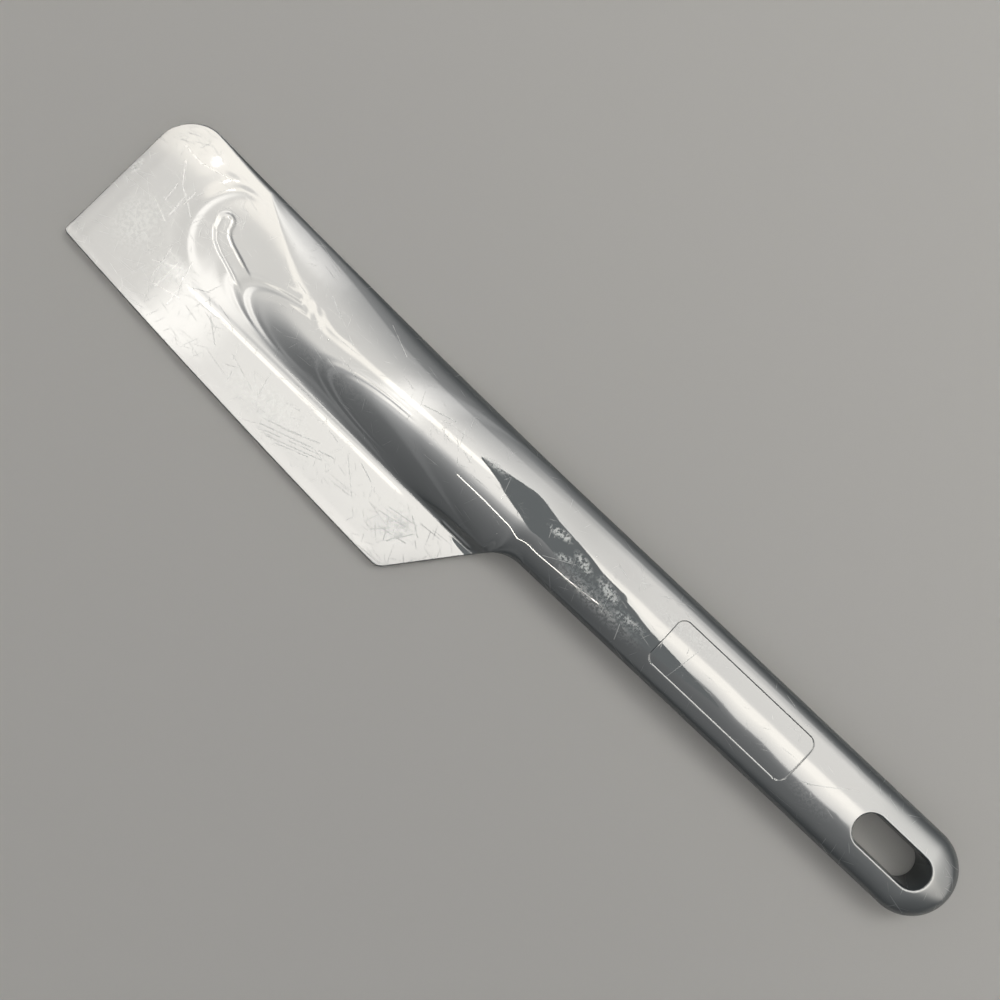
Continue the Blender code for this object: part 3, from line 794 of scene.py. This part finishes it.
faces = quads(np.concatenate([loft, loft[:, :1]], axis=1))
faces += quads(np.concatenate([end_grid, end_grid[:, :1]], axis=1))
faces.append(loft[0].tolist()[::-1])
count = len(join_y)
top_row = end_grid[-1]
under_row = end_grid[0]
faces += quads(np.stack([loft[-1, :count], top_row[:count][::-1]]))
faces += stitch(loft[-1, count:].tolist(), under_row[:count].tolist(), ring_y[-1, count:], outer_y[:count])
outer_top = np.append(top_row[count - 1:], top_row[0])
outer_under = np.append(under_row[count - 1:], under_row[0])
faces += quads(np.stack([outer_top, outer_under]))
faces.append([loft[-1, 0], loft[-1, -1], under_row[count - 1], top_row[count - 1]][::-1])
faces.append([loft[-1, count - 1], loft[-1, count], under_row[0], top_row[0]])
faces = [[int(corner) for corner in face] for face in faces]

points = np.concatenate([loft_points.reshape(-1, 3), end_points.reshape(-1, 3)])
outline_middle = (back_edge(x_rings).max() + front_edge(x_rings).min()) / 2
points[:, 1] -= outline_middle
points[:, 2] = np.clip(points[:, 2], 0, HANDLE_THICKNESS)
spatula = mesh_object("spatula_moulding", points, faces)
spatula.data.set_sharp_from_angle(angle=math.radians(40))

# What wear each point of the mesh has, kept on the mesh for the material to read
END_WEAR_SHARE = 0.6
END_WEAR_LENGTH = 36.0
END_WEAR_FADE = 12.0
PARTING_LINE_WIDTH = 0.3
GRIP_START_X = 92.0
GRIP_FADE = 16.0

mesh_x, mesh_y, mesh_z = points.T
mesh_y = mesh_y + outline_middle
end_top = (END_RINGS + RIM_TURNS - 2) * len(waist_x)
on_top = np.concatenate([
    np.tile(np.append(np.ones(top_count), np.zeros(UNDER_POINTS)), len(x_rings)),
    np.zeros(end_grid.size - end_top), np.ones(end_top),
])
along_blade = mesh_x < SPINE_TOP_X
past_foot = foot(mesh_x) - mesh_y
from_edge = mesh_y - front_edge(np.minimum(mesh_x, NECK_X))
plate_wear = on_top * along_blade * ease(past_foot / 2) * ease(from_edge / 0.5)
end_wear = END_WEAR_SHARE * on_top * ease((BLADE_END_X + END_WEAR_LENGTH - mesh_x) / END_WEAR_FADE)
parting_z = mix(BLADE_THICKNESS - back_rounding(mesh_x), PARTING_HEIGHT, back_share(mesh_x))
from_middle = np.hypot(np.maximum(mesh_x - HANDLE_END_CENTRE_X, 0), mesh_y)
on_wall = np.where(along_blade, mesh_y - back_edge(mesh_x), from_middle - HALF_WIDTH)
parting_line = ridge(mesh_z - parting_z, PARTING_LINE_WIDTH) * ease((on_wall + 0.5) / 0.3)
for name, values in (
    ("top_side", on_top), ("scraped", np.maximum(plate_wear, end_wear)),
    ("parting_flash", parting_line), ("gripped", ease((mesh_x - GRIP_START_X) / GRIP_FADE)),
):
    spatula.data.attributes.new(name, "FLOAT", "POINT").data.foreach_set("value", values.astype(np.float32))

# The plastic
# Nylon coloured dark grey right through and moulded in a polished mould, so it mirrors like piano black.
# Washing and scraping left hairlines, dull scuffs and dust, which look pale where it mirrors something dark,
# and hands have worn the handle's end from a mirror to a satin that blurs what it reflects.
PLASTIC_COLOUR = "464a4b"
SCRATCH_COLOUR = "6c6e6d"
SCUFF_COLOUR = "b4b6b3"
DUST_COLOUR = "dcdcd6"
FLASH_COLOUR = "d6d7d4"
WHITENED_COLOUR = "d8d8d2"
PLASTIC_IOR = 1.53
POLISHED_ROUGHNESS = 0.015
HANDLED_ROUGHNESS = 0.05
GRIPPED_ROUGHNESS = 0.2
SCRATCH_ROUGHNESS = 0.55
DUST_ROUGHNESS = 0.9
FLASH_ROUGHNESS = 0.5
HAIRLINE_STRENGTH = 0.5
HAIRLINE_SOFTNESS = 0.05
STROKE_STRENGTH = 0.6
STROKE_PEAK = 1.6
STROKE_FALL = 1.1
FLASH_STRENGTH = 0.35
WHITENING = 0.4
SCUFF_TINT = 0.7
SCUFF_PEAK = 1.4
SCRATCH_DEPTH = 0.008
WAVE_HEIGHT = 0.004
# How much a dense patch lowers the hairlines' rarity, and what scraping adds to the density
PATCH_DENSITY = 0.07
SCRAPED_DENSITY = 0.55
# Noise cells per millimetre
PATCH_SCALE = 0.09
CLOUD_SCALE = 0.55
SCUFF_GRAIN_SCALE = 1.2
SPECK_SCALE = 0.2
FLASH_BREAK_SCALE = 0.13
WAVE_SCALE = 0.28
# The largest speck, in cells of its pattern
SPECK_RADIUS = 0.04
# Real hairlines are a few hundredths of a millimetre wide and are drawn at 0.1 to 0.3 mm, so that they show.
# (turn in degrees, length and width in mm of one noise cell, how rare, seed)
HAIRLINES = (
    (12, 8.0, 0.26, 0.835, 17), (-27, 6.0, 0.24, 0.845, 34), (66, 5.0, 0.24, 0.850, 51),
    (-68, 6.5, 0.26, 0.845, 68), (-4, 12.0, 0.24, 0.840, 85), (40, 4.5, 0.22, 0.850, 102),
)
# Single scratches as (x, y) to (x, y) in mm from the middle of the tool's length and the handle's centreline,
# and their width: dull ones that a bowl's blade drew, and deeper ones that whitened the plastic
DULL_STROKES = (
    ((-64.4, -29.2), (-46.0, -23.2), 0.18), ((-63.2, -29.9), (-48.8, -24.9), 0.16),
    ((-61.2, -30.3), (-47.8, -25.6), 0.14), ((-64.8, -27.9), (-55.4, -24.6), 0.14),
    ((-58.6, -30.2), (-50.6, -27.2), 0.12), ((-60.0, -26.6), (-50.2, -22.7), 0.12),
    ((-21.6, -25.4), (-23.2, -28.8), 0.20), ((-24.8, -26.0), (-28.4, -30.0), 0.18),
    ((-19.8, -23.4), (-22.0, -27.0), 0.16), ((-26.8, -24.4), (-24.0, -29.2), 0.14),
    ((-28.4, -22.6), (-20.6, -21.4), 0.14), ((-29.4, -24.8), (-22.2, -23.4), 0.16),
    ((-27.0, -27.6), (-19.6, -26.2), 0.14), ((-22.8, -20.4), (-18.4, -23.2), 0.14),
    ((-80.0, -21.8), (-71.4, -24.6), 0.12), ((-77.6, -24.8), (-76.9, -27.6), 0.12),
    ((-70.6, -19.0), (-68.8, -26.4), 0.10), ((-90.2, -18.8), (-84.8, -23.0), 0.12),
    ((-44.0, -20.2), (-36.6, -26.8), 0.10), ((-40.2, -19.6), (-33.8, -21.8), 0.12),
    ((-38.4, 0.6), (-30.0, 3.0), 0.12), ((-72.0, 4.6), (-60.4, -0.4), 0.10),
    ((45.6, -6.4), (47.0, 3.6), 0.08), ((86.0, -2.4), (93.6, 3.2), 0.08),
)
WHITE_STROKES = (
    ((-119.9, 4.2), (-116.6, -0.4), 0.18), ((-116.6, -0.4), (-109.9, -4.7), 0.15),
    ((-122.3, 6.8), (-117.0, 6.3), 0.16), ((-117.0, 6.3), (-108.9, 8.4), 0.12),
    ((-117.6, -1.2), (-117.2, -5.6), 0.14), ((-114.2, -2.4), (-114.0, -7.8), 0.15),
    ((-113.1, 0.2), (-113.2, -3.6), 0.12), ((-119.0, -7.4), (-113.8, -9.6), 0.10),
    ((-108.2, -13.0), (-107.0, -21.6), 0.11), ((-104.6, -14.6), (-104.9, -22.4), 0.13),
    ((-102.2, -12.4), (-101.2, -17.0), 0.10), ((-109.6, -18.4), (-103.0, -14.9), 0.09),
    ((-106.4, -22.4), (-98.6, -20.6), 0.09), ((-100.4, -18.2), (-99.9, -23.6), 0.09),
    ((-57.0, 9.4), (-49.2, 6.2), 0.08), ((5.6, -5.8), (12.6, -2.2), 0.08),
    ((-12.0, 2.4), (-10.2, -2.8), 0.08), ((31.0, -8.6), (29.4, -5.2), 0.10),
    ((24.4, -6.0), (22.8, -1.4), 0.08),
)
# Dull scuffs: (centre x, centre y, half length, half width, turn in degrees, strength)
SCUFFS = (
    (5.2, 0.7, 4.2, 1.3, 8, 1.0), (13.8, -0.8, 4.0, 1.6, -14, 1.0), (9.6, -2.8, 3.0, 1.1, 20, 0.9),
    (22.5, -1.6, 5.2, 1.9, -12, 0.85), (30.0, -3.4, 6.0, 1.7, 6, 0.7), (-127.6, -4.6, 1.0, 2.6, 0, 0.9),
    (-16.0, 1.8, 5.0, 1.2, 4, 0.4), (-24.0, -24.6, 6.0, 5.0, 20, 0.5), (22.0, -5.0, 16.0, 3.0, -4, 0.4),
    (-66.0, -25.0, 14.0, 5.0, 4, 0.25), (-104.0, -17.0, 5.0, 4.5, 0, 0.35),
    (-118.0, -14.0, 7.0, 9.0, 0, 0.25),
    (-60.0, -9.0, 16.0, 2.2, 2, 0.12), (42.0, 4.0, 12.0, 2.5, 3, 0.15), (88.0, -4.5, 9.0, 2.6, -4, 0.15),
)

nylon, tree, shader = new_material("polished_dark_nylon")
place = add(tree, "ShaderNodeTexCoord", {}).outputs["Object"]
place = add(tree, "ShaderNodeVectorMath", {0: place, 1: (1 / MM, 1 / MM, 1 / MM), 2: (0, outline_middle, 0)},
            operation="MULTIPLY_ADD").outputs[0]
flat_place = add(tree, "ShaderNodeVectorMath", {0: place, 1: (1, 1, 0)}, operation="MULTIPLY").outputs[0]
top_side = add(tree, "ShaderNodeAttribute", {}, attribute_name="top_side").outputs["Fac"]
scraped = add(tree, "ShaderNodeAttribute", {}, attribute_name="scraped").outputs["Fac"]
flash = add(tree, "ShaderNodeAttribute", {}, attribute_name="parting_flash").outputs["Fac"]
gripped = add(tree, "ShaderNodeAttribute", {}, attribute_name="gripped").outputs["Fac"]

# Patches 6 to 20 mm across where the hairlines are denser, and finer cloudiness of the polish
patches = add(tree, "ShaderNodeTexNoise", {
    "Vector": place, "Scale": PATCH_SCALE, "Detail": 3.0}).outputs["Fac"]
density = add(tree, "ShaderNodeMapRange", {"Value": patches, "From Min": 0.38, "From Max": 0.68}).outputs[0]
density = add(tree, "ShaderNodeMath", {
    0: scraped, 1: SCRAPED_DENSITY, 2: density}, operation="MULTIPLY_ADD").outputs[0]
clouds = add(tree, "ShaderNodeTexNoise", {
    "Vector": place, "Scale": CLOUD_SCALE, "Detail": 5.0}).outputs["Fac"]

hairlines = None
for turn, length, width, rarity, seed in HAIRLINES:
    turned = add(tree, "ShaderNodeVectorRotate", {"Vector": place, "Angle": math.radians(turn)},
                 rotation_type="Z_AXIS").outputs[0]
    cell = add(tree, "ShaderNodeVectorMath", {0: turned, 1: (1 / length, 1 / width, 0.3), 2: (0, 0, seed)},
               operation="MULTIPLY_ADD").outputs[0]
    grain = add(tree, "ShaderNodeTexNoise", {"Vector": cell, "Scale": 1.0, "Detail": 0.0}).outputs["Fac"]
    over = add(tree, "ShaderNodeMath", {
        0: density, 1: PATCH_DENSITY, 2: grain}, operation="MULTIPLY_ADD").outputs[0]
    line = add(tree, "ShaderNodeMapRange", {
        "Value": over, "From Min": rarity, "From Max": rarity + HAIRLINE_SOFTNESS}, clamp=False).outputs[0]
    hairlines = line if hairlines is None else add(
        tree, "ShaderNodeMath", {0: hairlines, 1: line}, operation="MAXIMUM").outputs[0]
hairlines = add(tree, "ShaderNodeClamp", {"Value": hairlines}).outputs[0]
faintness = add(tree, "ShaderNodeMath", {0: top_side, 1: HAIRLINE_STRENGTH}, operation="MULTIPLY").outputs[0]
hairlines = add(tree, "ShaderNodeMath", {0: hairlines, 1: faintness}, operation="MULTIPLY").outputs[0]

# One stroke: 1 near the line between two points, 0 at one and a half times its width and less beyond
stroke = bpy.data.node_groups.new("stroke", "ShaderNodeTree")
for name in ("Place", "Start", "End"):
    stroke.interface.new_socket(name, in_out="INPUT", socket_type="NodeSocketVector")
stroke.interface.new_socket("Width", in_out="INPUT", socket_type="NodeSocketFloat")
stroke.interface.new_socket("Mask", in_out="OUTPUT", socket_type="NodeSocketFloat")
given = add(stroke, "NodeGroupInput", {}).outputs
start = given["Start"]
offset = add(stroke, "ShaderNodeVectorMath", {0: given["Place"], 1: start}, operation="SUBTRACT").outputs[0]
reach = add(stroke, "ShaderNodeVectorMath", {0: given["End"], 1: start}, operation="SUBTRACT").outputs[0]
dot = add(stroke, "ShaderNodeVectorMath", {0: offset, 1: reach}, operation="DOT_PRODUCT").outputs["Value"]
square = add(stroke, "ShaderNodeVectorMath", {0: reach, 1: reach}, operation="DOT_PRODUCT").outputs["Value"]
share = add(stroke, "ShaderNodeMath", {0: dot, 1: square}, operation="DIVIDE").outputs[0]
share = add(stroke, "ShaderNodeMath", {0: share, 1: 0.0}, operation="MAXIMUM").outputs[0]
share = add(stroke, "ShaderNodeMath", {0: share, 1: 1.0}, operation="MINIMUM").outputs[0]
nearest = add(stroke, "ShaderNodeVectorMath", {0: reach, "Scale": share}, operation="SCALE").outputs[0]
gap = add(stroke, "ShaderNodeVectorMath", {0: offset, 1: nearest}, operation="DISTANCE").outputs["Value"]
widths = add(stroke, "ShaderNodeMath", {0: gap, 1: given["Width"]}, operation="DIVIDE").outputs[0]
mask = add(stroke, "ShaderNodeMath", {
    0: widths, 1: -STROKE_FALL, 2: STROKE_PEAK}, operation="MULTIPLY_ADD").outputs[0]
add(stroke, "NodeGroupOutput", {"Mask": mask})

# A scratch skips where the surface is a little lower, so that none is evenly deep
skips = add(tree, "ShaderNodeMapRange", {"Value": clouds, "From Min": 0.30, "From Max": 0.45}).outputs[0]
skips = add(tree, "ShaderNodeMath", {0: skips, 1: top_side}, operation="MULTIPLY").outputs[0]


def scratches(strokes):
    """The mask of a list of strokes."""
    drawn = None
    for start, end, width in strokes:
        line = add(tree, "ShaderNodeGroup", {
            "Place": flat_place, "Start": (*start, 0), "End": (*end, 0), "Width": width}, node_tree=stroke)
        drawn = line.outputs["Mask"] if drawn is None else add(
            tree, "ShaderNodeMath", {0: drawn, 1: line.outputs["Mask"]}, operation="MAXIMUM").outputs[0]
    drawn = add(tree, "ShaderNodeClamp", {"Value": drawn}).outputs[0]
    return add(tree, "ShaderNodeMath", {0: drawn, 1: skips}, operation="MULTIPLY").outputs[0]


dull_strokes = add(tree, "ShaderNodeMath", {
    0: scratches(DULL_STROKES), 1: STROKE_STRENGTH}, operation="MULTIPLY").outputs[0]
white_strokes = scratches(WHITE_STROKES)

scuff_grain = add(tree, "ShaderNodeTexNoise", {
    "Vector": place, "Scale": SCUFF_GRAIN_SCALE, "Detail": 5.0, "Roughness": 0.7}).outputs["Fac"]
scuffs = None
for x, y, half_length, half_width, turn, strength in SCUFFS:
    offset = add(tree, "ShaderNodeVectorMath", {0: flat_place, 1: (x, y, 0)}, operation="SUBTRACT").outputs[0]
    turned = add(tree, "ShaderNodeVectorRotate", {"Vector": offset, "Angle": math.radians(-turn)},
                 rotation_type="Z_AXIS").outputs[0]
    shrunk = add(tree, "ShaderNodeVectorMath", {0: turned, 1: (1 / half_length, 1 / half_width, 0)},
                 operation="MULTIPLY").outputs[0]
    from_centre = add(tree, "ShaderNodeVectorMath", {0: shrunk}, operation="LENGTH").outputs["Value"]
    peak = SCUFF_PEAK * strength
    fade = add(tree, "ShaderNodeMath", {
        0: from_centre, 1: -peak, 2: peak}, operation="MULTIPLY_ADD").outputs[0]
    fade = add(tree, "ShaderNodeMath", {0: fade, 1: strength}, operation="MINIMUM").outputs[0]
    scuffs = fade if scuffs is None else add(
        tree, "ShaderNodeMath", {0: scuffs, 1: fade}, operation="MAXIMUM").outputs[0]
scuffs = add(tree, "ShaderNodeClamp", {"Value": scuffs}).outputs[0]
torn = add(tree, "ShaderNodeMapRange", {"Value": scuff_grain, "From Min": 0.46, "From Max": 0.54}).outputs[0]
scuffs = add(tree, "ShaderNodeMath", {0: scuffs, 1: torn}, operation="MULTIPLY").outputs[0]
scuffs = add(tree, "ShaderNodeMath", {0: scuffs, 1: top_side}, operation="MULTIPLY").outputs[0]

# Dust: specks up to 0.4 mm across, one every 5 mm or so, fewer than half of them kept
specks = add(tree, "ShaderNodeTexVoronoi", {"Vector": place, "Scale": SPECK_SCALE, "Randomness": 1.0})
from_speck = specks.outputs["Distance"]
speck_size = add(tree, "ShaderNodeSeparateColor", {"Color": specks.outputs["Color"]}).outputs[0]
speck_size = add(tree, "ShaderNodeMapRange", {
    "Value": speck_size, "From Min": 0.5, "From Max": 1.0, "To Max": SPECK_RADIUS}).outputs[0]
dust = add(tree, "ShaderNodeMath", {0: speck_size, 1: from_speck}, operation="SUBTRACT").outputs[0]
dust = add(tree, "ShaderNodeMapRange", {"Value": dust, "From Min": 0.0, "From Max": 0.015}).outputs[0]
dust = add(tree, "ShaderNodeMath", {0: dust, 1: top_side}, operation="MULTIPLY").outputs[0]

# The seam where the mould's halves met shows as a faint pale line with breaks in it
flash_grain = add(tree, "ShaderNodeTexNoise", {
    "Vector": place, "Scale": FLASH_BREAK_SCALE, "Detail": 2.0}).outputs["Fac"]
flash_breaks = add(tree, "ShaderNodeMapRange", {
    "Value": flash_grain, "From Min": 0.30, "From Max": 0.48, "To Max": FLASH_STRENGTH}).outputs[0]
flash = add(tree, "ShaderNodeMath", {0: flash, 1: flash_breaks}, operation="MULTIPLY").outputs[0]

marks = add(tree, "ShaderNodeMath", {0: dull_strokes, 1: hairlines}, operation="MAXIMUM").outputs[0]
dull = add(tree, "ShaderNodeMath", {0: marks, 1: scuffs}, operation="MAXIMUM").outputs[0]
scuff_tint = add(tree, "ShaderNodeMath", {0: scuffs, 1: SCUFF_TINT}, operation="MULTIPLY").outputs[0]
whitening = add(tree, "ShaderNodeMath", {0: white_strokes, 1: WHITENING}, operation="MULTIPLY").outputs[0]
colour = linear(PLASTIC_COLOUR)
for mask, tint in (
    (marks, SCRATCH_COLOUR), (scuff_tint, SCUFF_COLOUR), (whitening, WHITENED_COLOUR), (flash, FLASH_COLOUR),
    (dust, DUST_COLOUR),
):
    colour = add(tree, "ShaderNodeMix", {
        "Factor": mask, 6: colour, 7: linear(tint)}, data_type="RGBA").outputs[2]
tree.links.new(colour, shader.inputs["Base Color"])
rough = add(tree, "ShaderNodeMapRange", {
    "Value": clouds, "From Min": 0.35, "From Max": 0.7,
    "To Min": POLISHED_ROUGHNESS, "To Max": HANDLED_ROUGHNESS}).outputs[0]
for mask, roughness in (
    (gripped, GRIPPED_ROUGHNESS), (dull, SCRATCH_ROUGHNESS), (dust, DUST_ROUGHNESS), (flash, FLASH_ROUGHNESS),
):
    rough = add(tree, "ShaderNodeMix", {"Factor": mask, 2: rough, 3: roughness}, data_type="FLOAT").outputs[0]
tree.links.new(rough, shader.inputs["Roughness"])
shader.inputs["IOR"].default_value = PLASTIC_IOR

# Heights in mm: the faint waviness of a cooled surface, 4 mm from crest to crest, and the marks
waves = add(tree, "ShaderNodeTexNoise", {"Vector": place, "Scale": WAVE_SCALE, "Detail": 1.0}).outputs["Fac"]
surface = add(tree, "ShaderNodeMath", {0: waves, 1: WAVE_HEIGHT}, operation="MULTIPLY").outputs[0]
surface = add(tree, "ShaderNodeMath", {
    0: marks, 1: -SCRATCH_DEPTH, 2: surface}, operation="MULTIPLY_ADD").outputs[0]
bump = add(tree, "ShaderNodeBump", {"Height": surface, "Strength": 1.0, "Distance": MM})
tree.links.new(bump.outputs["Normal"], shader.inputs["Normal"])
spatula.data.materials.append(nylon)
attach(spatula, "root")
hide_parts("spatula_body")
